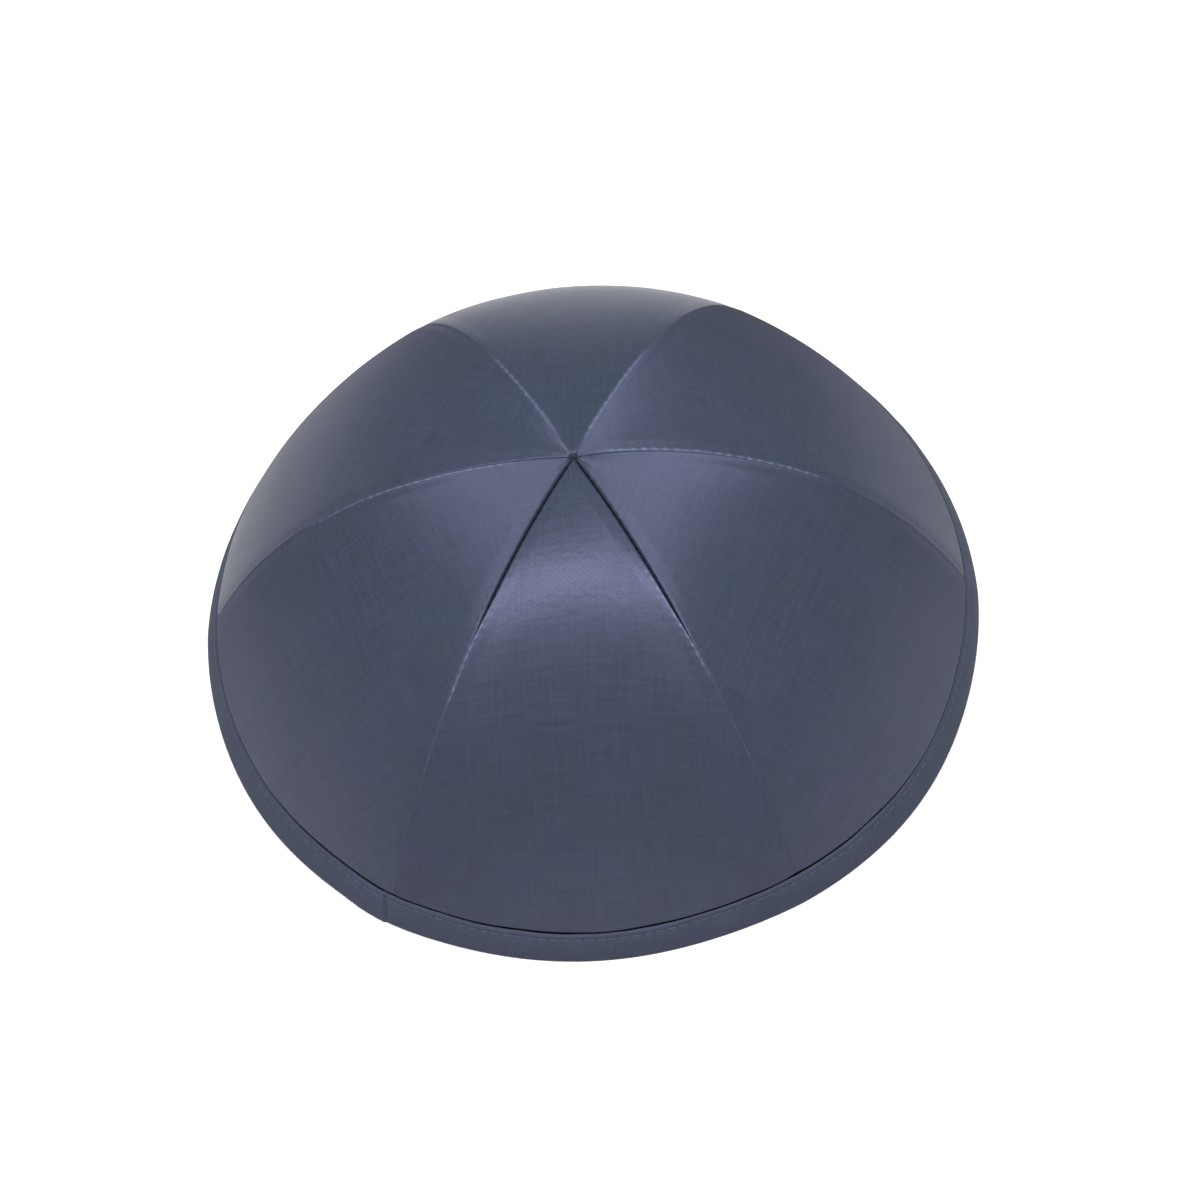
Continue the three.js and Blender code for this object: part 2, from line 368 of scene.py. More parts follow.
def side_slope(down):
    """Direction of the side line at that place, on the way down."""
    a, b, c, d = SIDE
    rest = 1 - down
    run = (b - a) * rest**2 + (c - b) * (2 * rest * down) + (d - c) * down**2
    return run.normalized()


def side_distances():
    """Distance from the top at evenly spaced places of the side line."""
    places = [side_point(i / SIDE_SAMPLES) for i in range(SIDE_SAMPLES + 1)]
    distances = [0.0]
    for here, there in zip(places, places[1:]):
        distances.append(distances[-1] + (there - here).length)
    return distances


DISTANCES = side_distances()
SIDE_LENGTH = DISTANCES[-1]


def down_at(distance):
    """Where a distance from the top falls on the side line, 0 at the top and 1 at the rim."""
    place = min(SIDE_SAMPLES, max(1, bisect.bisect_left(DISTANCES, distance)))
    before, after = DISTANCES[place - 1], DISTANCES[place]
    return (place - 1 + (distance - before) / (after - before)) / SIDE_SAMPLES


def seam_azimuth(index, down):
    """Azimuth of a seam at a place on the side line, in radians, growing with its number."""
    seam = SEAMS[index % len(SEAMS)]
    bent = mix(mix(seam["top"], seam["middle"], down), mix(seam["middle"], seam["rim"], down), down)
    return math.radians(bent + 360 * (index // len(SEAMS)))


def across_gore(azimuth, down):
    """How far across its gore an azimuth falls, from 0 at one seam to 1 at the next."""
    for index in range(len(SEAMS)):
        start = seam_azimuth(index, down)
        width = seam_azimuth(index + 1, down) - start
        past = (azimuth - start) % (2 * math.pi)
        if past < width:
            return past / width
    return 0.0


def local_swell(azimuth, rows, amount):
    """Sum of soft local swellings round the rim, each row with its azimuth, amount and spread."""
    total = 0.0
    for row in rows:
        away = (math.degrees(azimuth) - row["azimuth"] + 180) % 360 - 180
        total += row[amount] * math.exp(-((away / row["spread"]) ** 2))
    return total


def cap_point(down, azimuth, depth, across=None):
    """A point of the cap: down the side line, round the crown, and depth in from the skin."""
    side = side_point(down)
    slope = side_slope(down)
    if across is None:
        across = across_gore(azimuth, down)
    flatness = mix(FLATNESS_CROWN, FLATNESS_RIM, down**3)
    chord = math.cos((across - 0.5) * math.pi / 3) / math.cos(math.pi / 6)
    radius = side.x / (1 - flatness + flatness * chord)
    reach = radius + local_swell(azimuth, RIM_BULGES, "out") * down**4 + depth * slope.y
    return Vector((
        reach * math.cos(azimuth) + TOP_LEANS.x * (1 - down),
        reach * math.sin(azimuth) + TOP_LEANS.y * (1 - down),
        side.y - depth * slope.x,
    ))


def wall_point(height, azimuth, depth):
    """A point of the wall by the rim: up the leaning wall from the resting surface."""
    up_wall = height + depth * math.tan(WALL_LEAN)
    return cap_point(down_at(SIDE_LENGTH - up_wall), azimuth, depth)


def tape_edge(azimuth):
    """Height of the tape's upper edge, a little uneven as it was sewn by hand and eye."""
    wander = TAPE_WANDER["height"] * ring_noise(azimuth, TAPE_WANDER["waves"], TAPE_WANDER["seed"])
    return TAPE_WIDTH + local_swell(azimuth, TAPE_DRIFTS, "wider") + wander


# Pieces

def finished_piece(name, bm, material, node=None):
    """Writes a bmesh as a smooth piece that rides on the cap and takes one material."""
    mesh = bpy.data.meshes.new(name)
    bm.to_mesh(mesh)
    bm.free()
    mesh.materials.append(material)
    for polygon in mesh.polygons:
        polygon.use_smooth = True
    piece = bpy.data.objects.new(name, mesh)
    bpy.context.scene.collection.objects.link(piece)
    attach(piece, "root")
    if node:
        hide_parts(node)
    return piece


def face_outwards(bm):
    """Turns all faces one way, so that the one furthest from the cap's axis looks outwards."""
    bmesh.ops.recalc_face_normals(bm, faces=bm.faces)
    outermost = max(bm.faces, key=lambda face: face.calc_center_median().xy.length)
    if outermost.normal.dot(outermost.calc_center_median()) < 0:
        bmesh.ops.reverse_faces(bm, faces=bm.faces)


def thicken(piece, thickness):
    """Gives a piece the thickness of its cloth, by the share of it that each vertex takes."""
    piece.vertex_groups.new(name="thickness")
    solid = piece.modifiers.new("cloth", "SOLIDIFY")
    solid.thickness = thickness
    solid.offset = -1
    solid.vertex_group = "thickness"


def seam_pull(index, distance):
    """How hard the thread pulls at a seam: 1 at a stitch, 0 between two, uneven on the way down."""
    beat = 0.5 + 0.5 * math.cos(2 * math.pi * distance / STITCH_PITCH)
    place = Vector((distance * PULL_WAVES, (index % len(SEAMS)) * PULL_SEED, 0))
    return beat * (0.75 + 0.5 * noise.noise(place))


def seam_depth(index, distance):
    """How far a gore's roll lies below the skin beside a seam: deepest near the top."""
    deep = mix(SEAM_DEPTH_TOP, SEAM_DEPTH_RIM, smooth(distance, *SEAM_DEPTH_EASES))
    return deep + STITCH_PULL * seam_pull(index, distance) * smooth(distance, *STITCH_PULL_GROWS)


def seam_open(index, distance):
    """How far a crease stands open: 0 where its two folds are pressed together, 1 down to the thread."""
    wear = SEAM_WEAR[index % len(SEAMS)]
    return wear["open"] * (1 - smooth(distance, wear["to"] - CREASE_FADE, wear["to"] + CREASE_FADE))


def fold_rub_and_sheen(index, side, distance):
    """How pale a folded edge is painted, partly rubbing and partly a painted highlight: palest where the
    cloth puffs up between two stitches and catches the light.
    """
    wear = SEAM_WEAR[index % len(SEAMS)]
    first, last = wear["rubbed_and_lit"]
    held = smooth(distance, first, first + RUB_AND_SHEEN_FADE_IN)
    held *= 1 - smooth(distance, last - RUB_AND_SHEEN_FADE_OUT, last)
    return wear[side] * held * (1 - HELD_DOWN * seam_pull(index, distance))


def seam_fold(half_width, index, side, distance):
    """The sizes of a gore's fold at one place of a seam, by name."""
    opened = seam_open(index, distance)
    slack = 1 - seam_pull(index, distance)
    gape = CREASE_GAPE * opened * (GAPE_AT_STITCH + GAPE_BETWEEN * slack) + SEAM_GAP * slack
    shut = mix(SEAM_WEAR[index % len(SEAMS)]["shut"], RIM_ANGLE, smooth(distance, *RIM_ANGLE_GROWS))
    return {
        "roll": min(ROLL_RADIUS, ROLL_SHARE * half_width),
        "top": seam_depth(index, distance),
        "gape": min(gape, GAPE_SHARE * half_width),
        "pressed": math.radians(mix(shut, OPEN_ANGLE, opened)),
        "worn_and_lit": fold_rub_and_sheen(index, side, distance),
        "curl": 0.6 + noise.noise(Vector((distance * CURL_WAVES, index * CURL_SEED, 4.0))),
    }


def allowance_steps(fold, half_width):
    """The seam allowance, pressed open inside the cap, from its raw edge to the fold."""
    start = SEAM_GAP + fold["gape"] + fold["roll"]
    length = max(0.0, min(ALLOWANCE - fold["roll"], half_width - start - 0.1 * MM))
    curl = ALLOWANCE_CURL * fold["curl"] * smooth(length, 0, 3 * MM)
    steps = []
    for share in ALLOWANCE_SHARES:
        along = share * length
        from_roll = fold["top"] + 2 * fold["roll"]
        lies = mix(from_roll, 2 * CLOTH + ALLOWANCE_CLEAR, smooth(along, 0, 2 * MM))
        steps.append((start + along, lies + curl * share**3, -fold["roll"] * math.pi / 2 - along, 0.0))
    return steps


def inner_turn_steps(fold):
    """The inner half of the fold, which meets the next gore's and parts from it where it is open."""
    roll = fold["roll"]
    steps = []
    for angle in FOLD_ANGLES:
        bend = math.radians(angle)
        rounded_off = roll * (1 - math.cos(bend)) * smooth(-bend, math.pi / 5, math.pi / 2)
        out = SEAM_GAP + fold["gape"] * smooth(bend, -math.pi / 7, 0) + rounded_off
        steps.append((out, fold["top"] + roll * (1 - math.sin(bend)), roll * bend, 0.0))
    return steps


def shoulder_steps(fold):
    """The outer half of the fold, from where it is pressed to the next gore's up to its top."""
    roll, pressed = fold["roll"], fold["pressed"]
    rub_and_sheen_from, rub_and_sheen_to = map(math.radians, RUB_AND_SHEEN_ANGLES)
    steps = []
    for share in SHOULDER_SHARES:
        bend = mix(pressed, math.pi / 2, share)
        # Painted highlight as well as rubbing: the fold's side is painted paler as it turns up to the
        # light
        rubbed_and_lit = fold["worn_and_lit"] * smooth(bend, rub_and_sheen_from, rub_and_sheen_to) * (1 - RUB_AND_SHEEN_LOST * share**4)
        out = SEAM_GAP + fold["gape"] + roll * (math.cos(pressed) - math.cos(bend))
        steps.append((out, fold["top"] + roll * (1 - math.sin(bend)), roll * bend, rubbed_and_lit))
    return steps


def dip_steps(fold, half_width):
    """The cloth beside the fold, up out of the seam's dip to where it lies flat."""
    roll = fold["roll"]
    shoulder = SEAM_GAP + fold["gape"] + roll * math.cos(fold["pressed"])
    width = min(DIP_WIDTH, 0.7 * half_width - roll)
    steps = []
    for share in DIP_SHARES:
        lies = fold["top"] * (1 - smooth(share, 0, 1))
        steps.append((shoulder + share * width, lies, roll * math.pi / 2 + share * width, 0.0))
    return steps


def half_section(half_width, index, side, distance):
    """One side of a gore's section, from the raw edge of its allowance to where it lies flat.

    Each step is (distance from the seam, depth, length of cloth from the seam, how pale it is painted,
    from rubbing and a painted highlight).
    """
    fold = seam_fold(half_width, index, side, distance)
    hidden = allowance_steps(fold, half_width) + inner_turn_steps(fold)
    return hidden + shoulder_steps(fold) + dip_steps(fold, half_width)


def gore_row(index, distance):
    """One row of a gore, from seam to seam: (across, azimuth, depth, cloth from the middle, paleness
    from rubbing and a painted highlight).
    """
    down = down_at(distance)
    left, right = seam_azimuth(index, down), seam_azimuth(index + 1, down)
    radius = side_point(down).x
    half = 0.5 * (right - left) * radius
    after = half_section(half, index, "after", distance)
    before = half_section(half, index + 1, "before", distance)
    after_half, before_half = (half + side[-1][2] - side[-1][0] for side in (after, before))
    row = [(left + step[0] / radius, step[1], step[2] - after_half, step[3]) for step in after]
    last = [(right - step[0] / radius, step[1], before_half - step[2], step[3]) for step in before]
    start, end = row[-1], last[-1]
    for column in range(1, MIDDLE_COLUMNS + 1):
        share = column / (MIDDLE_COLUMNS + 1)
        row.append(tuple(mix(a, b, share) for a, b in zip(start, end)))
    row += reversed(last)
    width = right - left
    return [((azimuth - left) / width, azimuth, *rest) for azimuth, *rest in row]


def rolled_in(past):
    """Depth of a round roll, as a share of the full depth, at a share of the way past it."""
    left = 1 - min(1.0, max(0.0, past))
    return 1 - math.sqrt(1 - left**2)


def ditch_edge(azimuth):
    """How much higher than usual a gore starts to dive in to pass under the tape."""
    uneven = ring_noise(azimuth, DITCH_WANDER["waves"], DITCH_WANDER["seed"])
    wander = DITCH * DITCH_WANDER["share"] * uneven
    return tape_edge(azimuth) - TAPE_WIDTH + wander + local_swell(azimuth, DITCH_DRIFTS, "wider")


def row_distances():
    """Distances of a gore's rows from the top, closer together where the cloth rolls in."""
    rolls = [1 - math.sin(math.radians(angle)) for angle in ROLL_ANGLES]
    top_roll = [TIP + APEX_ROLL * past for past in reversed(rolls)]
    tuck = SIDE_LENGTH - TAPE_WIDTH - DITCH
    tuck_roll = [tuck - TUCK_ROLL * past for past in rolls]
    count = round((tuck_roll[0] - top_roll[-1]) / ROW_STEP)
    crown = [mix(top_roll[-1], tuck_roll[0], row / count) for row in range(1, count)]
    hem = [mix(tuck, SIDE_LENGTH - HEM_HEIGHT, share) for share in HEM_SHARES]
    return top_roll + crown + tuck_roll + hem


def on_the_cloth(distances, sections):
    """Where each column of each row lies on the flat cloth: off the gore's middle, and down it."""
    down = [distances[0]] * len(sections[0])
    places = []
    for row, section in enumerate(sections):
        if row:
            step = distances[row] - distances[row - 1]
            asides = [here[3] - above[3] for here, above in zip(section, sections[row - 1])]
            ways = [math.sqrt(max(step**2 - aside**2, 0.25 * step**2)) for aside in asides]
            down = [above + way for above, way in zip(down, ways)]
        places.append([Vector((here[3], way)) for here, way in zip(section, down)])
    return places


def crown_ripple(point, distance):
    """Slight unevenness of the sewn cloth, so that the sheen isn't that of a hard shell."""
    waves = [noise.noise(point * row["waves"] + row["seed"]) * row["height"] for row in RIPPLES]
    return sum(waves) * smooth(distance, *RIPPLES_GROW)


def gore(index):
    """A gore, laid out row by row from its tip at the top to its hem inside the tape."""
    distances = row_distances()
    rows = len(distances) - 1
    folded = len(ALLOWANCE_SHARES) + len(FOLD_ANGLES) + len(SHOULDER_SHARES) + len(DIP_SHARES)
    columns = 2 * folded + MIDDLE_COLUMNS
    bm = bmesh.new()
    bmesh.ops.create_grid(bm, x_segments=columns - 1, y_segments=rows, size=1)
    cut = bm.loops.layers.uv.new("cut")
    rub_and_sheen = bm.verts.layers.float.new("rub_and_sheen")
    thickness = bm.verts.layers.deform.verify()
    sections = [gore_row(index, distance) for distance in distances]
    on_cloth = on_the_cloth(distances, sections)
    off_grain = Matrix.Rotation(GORES[index]["off_grain"], 2)
    flat = {}
    for vert in bm.verts:
        column = round((vert.co.x + 1) / 2 * (columns - 1))
        row = round((1 - vert.co.y) / 2 * rows)
        across, azimuth, depth, _, rubbed_and_lit = sections[row][column]
        distance = distances[row]
        height = SIDE_LENGTH - distance
        under = rolled_in((height - TAPE_WIDTH - DITCH) / TUCK_ROLL)
        by_tape = 1 - smooth(height, *FOLLOWS_TAPE)
        placed = down_at(distance - ditch_edge(azimuth) * by_tape)
        skin = cap_point(placed, azimuth, 0, across)
        depth = depth * mix(1, TUCKED_FLATTER, under) + crown_ripple(skin, distance) * (1 - under)
        depth += TUCK_DEPTH * under + APEX_DEPTH * rolled_in((distance - TIP) / APEX_ROLL)
        vert.co = cap_point(placed, azimuth, depth, across)
        # The folds' paleness, partly rubbing and partly a painted highlight
        vert[rub_and_sheen] = rubbed_and_lit
        vert[thickness][0] = min(1.0, distance / APEX_THINNING)
        flat[vert] = on_cloth[row][column] @ off_grain
    for face in bm.faces:
        for loop in face.loops:
            loop[cut].uv = flat[loop.vert]
    face_outwards(bm)
    place = GORES[index]["gore"]
    piece = finished_piece(f"satin_gore_{place}", bm, SATIN, f"panel_{place}")
    thicken(piece, CLOTH)
    return piece


def from_lap(azimuth):
    """Turn from the lap's edge to an azimuth, -pi to pi."""
    return (azimuth - math.radians(LAP_AZIMUTH) + math.pi) % (2 * math.pi) - math.pi


def gathered(azimuth):
    """Moves an azimuth of the evenly spun tape towards the lap, where the folds need more steps."""
    turn = from_lap(azimuth)
    drawn = LAP_GATHER * LAP_REACH * math.tanh(turn / LAP_REACH)
    spread = 1 / (1 - LAP_GATHER * LAP_REACH / math.pi)
    return math.radians(LAP_AZIMUTH) + (turn - drawn) * spread


def lap_rise(azimuth, height):
    """How far the tape's lapped end stands proud, by its distance round the rim from the edge."""
    from_edge = from_lap(azimuth) * RIM_RADIUS + LAP_SLANT * (height - 0.5 * TAPE_WIDTH)
    step = 1 - smooth(from_edge, -LAP_EDGE, LAP_EDGE)
    proud = LAP_RISE * step * smooth(from_edge, -LAP_LENGTH, -0.35 * LAP_LENGTH)
    line = LAP_LINE_DEPTH * math.exp(-((from_edge - LAP_LINE_AWAY) / LAP_LINE_WIDTH) ** 2)
    line *= smooth(height, 0.5 * MM, 2 * MM)
    return (proud - line) * (1 - 0.6 * smooth(height, 0.8 * TAPE_WIDTH, TAPE_WIDTH))


def arc(centre, radius, first, last, count):
    """Points of a round fold, by depth and height, between two angles in degrees."""
    angles = [math.radians(mix(first, last, i / (count - 1))) for i in range(count)]
    return [(centre[0] - radius * math.cos(a), centre[1] + radius * math.sin(a)) for a in angles]


def tape_section():
    """The folded tape, from one raw edge round the rim to the other, as (depth, height) points."""
    fold = TAPE_FOLD
    top = TAPE_WIDTH - fold
    hem_end, hem_start = 0.45 * TAPE_WIDTH, 0.7 * TAPE_WIDTH
    inner_hem_depth = TAPE_DEPTH - 2 * fold
    outer_hem = [(2 * fold, hem_end), (2 * fold, hem_start)]
    outer_top = arc((fold, top), fold, 180, 0, 7)
    outer_face = [(-row["out"], row["height"]) for row in TAPE_FACE]
    foot = arc((FOOT_DEPTH, FOOT_FOLD), FOOT_FOLD, 0, -90, 6)
    sole = [(depth, 0) for depth in SOLE]
    heel = arc((TAPE_DEPTH - HEEL_FOLD, HEEL_FOLD), HEEL_FOLD, 270, 180, 5)
    inner_face = [
        (TAPE_DEPTH, 0.35 * TAPE_WIDTH),
        (TAPE_DEPTH, 0.6 * TAPE_WIDTH),
        (TAPE_DEPTH - 0.10 * MM, TAPE_WIDTH - EDGE_STITCH_DROP),
    ]
    inner_top = arc((TAPE_DEPTH - fold, top), fold, 180, 0, 7)
    inner_hem = [(inner_hem_depth, hem_start), (inner_hem_depth, hem_end)]
    outside = outer_hem + outer_top + outer_face + foot
    return outside + sole + heel + inner_face + inner_top + inner_hem


def tape_pull(azimuth):
    """The edge stitches' pull on the tape, 1 at a stitch hole and 0 half way between two."""
    return 0.5 + 0.5 * math.cos(azimuth * RIM_RADIUS / EDGE_STITCH_PITCH * 2 * math.pi)


def tape_sink(azimuth, height):
    """How far the tape's outer face sinks at the stitches and in its ripples."""
    from_stitches = height - TAPE_WIDTH + EDGE_STITCH_DROP
    by_stitch = math.exp(-(from_stitches / TAPE_PUCKER["spread"]) ** 2)
    wave = ring_noise(azimuth, TAPE_RIPPLE["waves_round"], UP * height * TAPE_RIPPLE["waves_up"])
    ripple = TAPE_RIPPLE["depth"] * wave * smooth(height, *TAPE_RIPPLE["grows"])
    return TAPE_PUCKER["depth"] * tape_pull(azimuth) * by_stitch + ripple


def map_round(bm, cut, flat):
    """Writes a flat map that goes once round the rim, closed where the azimuth starts again."""
    for face in bm.faces:
        turns = [flat[loop.vert][0] for loop in face.loops]
        crosses = max(turns) - min(turns) > math.pi
        for loop, turn in zip(face.loops, turns):
            if crosses and turn < 0:
                turn += 2 * math.pi
            loop[cut].uv = (turn * RIM_RADIUS, flat[loop.vert][1])


def binding():
    """The tape: its section is drawn at one place of the rim and spun once round."""
    bm = bmesh.new()
    section = tape_section()
    verts = [bm.verts.new((RIM_RADIUS - depth, 0, height)) for depth, height in section]
    edges = [bm.edges.new(pair) for pair in zip(verts, verts[1:])]
    bmesh.ops.spin(
        bm, geom=verts + edges, cent=(0, 0, 0), axis=UP, angle=2 * math.pi,
        steps=TAPE_STEPS, use_merge=True,
    )
    cut = bm.loops.layers.uv.new("cut")
    rub_and_sheen = bm.verts.layers.float.new("rub_and_sheen")
    thickness = bm.verts.layers.deform.verify()
    lengths = [0.0]
    for here, there in zip(section, section[1:]):
        lengths.append(lengths[-1] + math.dist(here, there))
    flat = {}
    for vert in bm.verts:
        azimuth = gathered(math.atan2(vert.co.y, vert.co.x))
        depth = RIM_RADIUS - Vector(vert.co.xy).length
        height = vert.co.z
        nearest = min(range(len(section)), key=lambda i: math.dist(section[i], (depth, height)))
        flat[vert] = (azimuth, lengths[nearest])
        outside = 1 - smooth(depth, *TAPE_OUTSIDE)
        sunk = (tape_sink(azimuth, height) - lap_rise(azimuth, height)) * outside
        vert[rub_and_sheen] = FOOT_RUB["rub_and_sheen"] * (1 - smooth(height, 0, FOOT_RUB["height"]))
        vert[thickness][0] = 1.0
        stretch = tape_edge(azimuth) / TAPE_WIDTH
        placed = height * mix(1, stretch, smooth(height, 0, TAPE_WIDTH))
        vert.co = wall_point(placed, azimuth, depth + sunk)
        if height == 0:
            vert.co.z = 0
    map_round(bm, cut, flat)
    face_outwards(bm)
    piece = finished_piece("binding_tape", bm, TAPE, "rim_binding")
    thicken(piece, TAPE_CLOTH)
    return piece


def stitch_form():
    """One stitch of round thread, a unit long along X and a unit thick, arched between its holes."""
    bm = bmesh.new()
    ring = bmesh.ops.create_circle(bm, segments=STITCH_SIDES, radius=0.5)["verts"]
    bmesh.ops.rotate(bm, verts=ring, matrix=Matrix.Rotation(math.pi / 2, 3, "Y"))
    bmesh.ops.translate(bm, verts=ring, vec=(-0.5, 0, 0))
    lead = bm.edges[:]
    for _ in range(STITCH_STEPS):
        grown = bmesh.ops.extrude_edge_only(bm, edges=lead)["geom"]
        ring = [item for item in grown if isinstance(item, bmesh.types.BMVert)]
        edges = [item for item in grown if isinstance(item, bmesh.types.BMEdge)]
        lead = [edge for edge in edges if set(edge.verts) <= set(ring)]
        bmesh.ops.translate(bm, verts=ring, vec=(1 / STITCH_STEPS, 0, 0))
    bmesh.ops.holes_fill(bm, edges=[edge for edge in bm.edges if edge.is_boundary], sides=0)
    bmesh.ops.recalc_face_normals(bm, faces=bm.faces)
    for vert in bm.verts:
        share = abs(2 * vert.co.x)
        pinch = 1 - STITCH_PINCH * share**4
        vert.co.y *= pinch
        vert.co.z = vert.co.z * pinch + STITCH_ARCH * (1 - share**2) - STITCH_SINK * share**5
    form = bpy.data.meshes.new("stitch")
    bm.to_mesh(form)
    bm.free()
    return form


def stitches(name, runs, thickness):
    """A row of stitches as one piece. Each run is (start, end, outwards)."""
    form = stitch_form()
    bm = bmesh.new()
    for start, end, outwards in runs:
        run = end - start
        sideways = outwards.cross(run).normalized()
        upwards = run.cross(sideways).normalized()
        place = Matrix((run, sideways * thickness, upwards * thickness)).transposed().to_4x4()
        place.translation = (start + end) / 2
        before = len(bm.verts)
        bm.from_mesh(form)
        bm.verts.ensure_lookup_table()
        bmesh.ops.transform(bm, matrix=place, verts=bm.verts[before:])
    bpy.data.meshes.remove(form)
    return finished_piece(name, bm, THREAD)


def edge_stitches():
    """The row of stitches that holds the tape, on its outer face and again inside the rim."""
    count = round(2 * math.pi * RIM_RADIUS / EDGE_STITCH_PITCH)
    runs = []
    for row in EDGE_ROWS:
        for number in range(count):
            ends = []
            for share in EDGE_SPAN:
                azimuth = (number + share) / count * 2 * math.pi - math.pi
                height = tape_edge(azimuth) - EDGE_STITCH_DROP
                rise = lap_rise(azimuth, height) if row["looks"] > 0 else 0
                ends.append(wall_point(height, azimuth, row["depth"] - rise))
            outwards = Vector((ends[0].x, ends[0].y, 0)) * row["looks"]
            runs.append((*ends, outwards))
    return stitches("binding_stitches", runs, EDGE_THREAD)


def seam_stitches(index):
    """The seam's thread, which shows as a run of stitches inside the cap."""
    last = SIDE_LENGTH - TAPE_WIDTH - SEAM_THREAD_ENDS
    runs = []
    for number in range(2, int(last / STITCH_PITCH)):
        ends = []
        for share in SEAM_SPAN:
            distance = (number + share) * STITCH_PITCH
            down = down_at(distance)
            ends.append(cap_point(down, seam_azimuth(index, down), SEAM_THREAD_DEPTH, 0.0))
        runs.append((*ends, -ends[0]))
    return stitches(f"seam_stitches_{SEAMS[index]['seam']}", runs, SEAM_THREAD)


# Materials

def new_group(name, inputs, outputs):
    """A shader node group with named inputs (socket kind, start value) and named outputs."""
    tree = bpy.data.node_groups.new(name, "ShaderNodeTree")
    for label, kind, value in inputs:
        socket = tree.interface.new_socket(label, in_out="INPUT", socket_type=kind)
        if value is not None:
            socket.default_value = value
    for label, kind in outputs:
        tree.interface.new_socket(label, in_out="OUTPUT", socket_type=kind)
    return tree, tree.nodes.new("NodeGroupInput"), tree.nodes.new("NodeGroupOutput")


def maths(tree, operation, first, second=None):
    """A Math node fed by sockets or numbers. Returns its output."""
    node = tree.nodes.new("ShaderNodeMath")
    node.operation = operation
    for socket, value in zip(node.inputs, (first, second)):
        if value is None:
            continue
        if isinstance(value, (int, float)):
            socket.default_value = value
        else:
            tree.links.new(value, socket)
    return node.outputs[0]


def noise_texture(tree, place, scale, detail):
    """Noise of its own scale along each axis of a map. Returns its value, 0 to 1."""
    stretch = tree.nodes.new("ShaderNodeVectorMath")
    stretch.operation = "MULTIPLY"
    stretch.inputs[1].default_value = scale
    tree.links.new(place, stretch.inputs[0])
    texture = tree.nodes.new("ShaderNodeTexNoise")
    texture.inputs["Scale"].default_value = 1.0
    texture.inputs["Detail"].default_value = detail
    tree.links.new(stretch.outputs[0], texture.inputs["Vector"])
    return texture.outputs["Fac"]


def rounded(tree, value):
    """The round back of a thread: 1 along its middle, 0 at its edges, once in each whole number."""
    twice = maths(tree, "MULTIPLY", maths(tree, "FRACT", value), 2.0)
    centred = maths(tree, "SUBTRACT", twice, 1.0)
    return maths(tree, "SUBTRACT", 1.0, maths(tree, "MULTIPLY", centred, centred))


def satin_weave():
    """Satin of five threads: long floats down the cloth, each dipping once in five crossings."""
    tree, given, result = new_group(
        "satin weave",
        [("Cloth", "NodeSocketVector", None), ("Thread", "NodeSocketFloat", THREAD_WIDTH),
         ("Uneven", "NodeSocketFloat", WEAVE_SLACK["height"])],
        [("Height", "NodeSocketFloat")],
    )
    cloth = given.outputs["Cloth"]
    split = tree.nodes.new("ShaderNodeSeparateXYZ")
    tree.links.new(cloth, split.inputs[0])
    across = maths(tree, "DIVIDE", split.outputs["X"], given.outputs["Thread"])
    along = maths(tree, "DIVIDE", split.outputs["Y"], given.outputs["Thread"])
    moved_on = maths(tree, "MULTIPLY", maths(tree, "FLOOR", across), 2.0)
    crossing = maths(tree, "ADD", moved_on, maths(tree, "FLOOR", along))
    dips = maths(tree, "LESS_THAN", maths(tree, "FLOORED_MODULO", crossing, 5.0), 0.5)
    dip = maths(tree, "MULTIPLY", dips, rounded(tree, along))
    on_top = maths(tree, "SUBTRACT", 1.0, maths(tree, "MULTIPLY", dip, WEAVE_DIP))
    height = maths(tree, "MULTIPLY", rounded(tree, across), on_top)
    slack = noise_texture(tree, cloth, WEAVE_SLACK["waves"], WEAVE_SLACK["detail"])
    lumps = maths(tree, "MULTIPLY", slack, given.outputs["Uneven"])
    tree.links.new(maths(tree, "ADD", height, lumps), result.inputs["Height"])


def dyed_cloth():
    """The dye's slight unevenness, yarn to yarn and patch to patch, and the paler folds, partly rubbed
    and partly a painted highlight.
    """
    tree, given, result = new_group(
        "dyed cloth",
        [("Dye", "NodeSocketColor", (0.05, 0.06, 0.1, 1)), ("Cloth", "NodeSocketVector", None),
         ("Rub_and_sheen", "NodeSocketFloat", 0.0), ("Rough", "NodeSocketFloat", 0.4)],
        [("Color", "NodeSocketColor"), ("Roughness", "NodeSocketFloat")],
    )
    cloth = given.outputs["Cloth"]
    textures = [noise_texture(tree, cloth, row["waves"], row["detail"]) for row in DYE_NOISE]
    patch = textures[0]
    uneven = DYE_EVEN
    for texture, row in zip(textures, DYE_NOISE):
        uneven = maths(tree, "ADD", uneven, maths(tree, "MULTIPLY", texture, row["lightens"]))
    # Paler folds in flecks: rubbing, and the painted highlight on the seams' folds
    flecks = noise_texture(tree, cloth, RUB_AND_SHEEN_FLECKS["waves"], RUB_AND_SHEEN_FLECKS["detail"])
    paler = maths(tree, "MULTIPLY", flecks, RUB_AND_SHEEN_FLECKS["lightens"])
    rubbed_and_lit = maths(tree, "MULTIPLY", given.outputs["Rub_and_sheen"], paler)
    value = maths(tree, "ADD", uneven, rubbed_and_lit)
    shade = tree.nodes.new("ShaderNodeHueSaturation")
    tree.links.new(given.outputs["Dye"], shade.inputs["Color"])
    tree.links.new(value, shade.inputs["Value"])
    hue = maths(tree, "ADD", maths(tree, "MULTIPLY", patch, HUE_PATCHES), HUE_EVEN)
    tree.links.new(hue, shade.inputs["Hue"])
    tree.links.new(shade.outputs["Color"], result.inputs["Color"])
    uneven_rough = maths(tree, "MULTIPLY", maths(tree, "SUBTRACT", patch, 0.5), ROUGH_PATCHES)
    rough = maths(tree, "ADD", given.outputs["Rough"], uneven_rough)
    tree.links.new(rough, result.inputs["Roughness"])


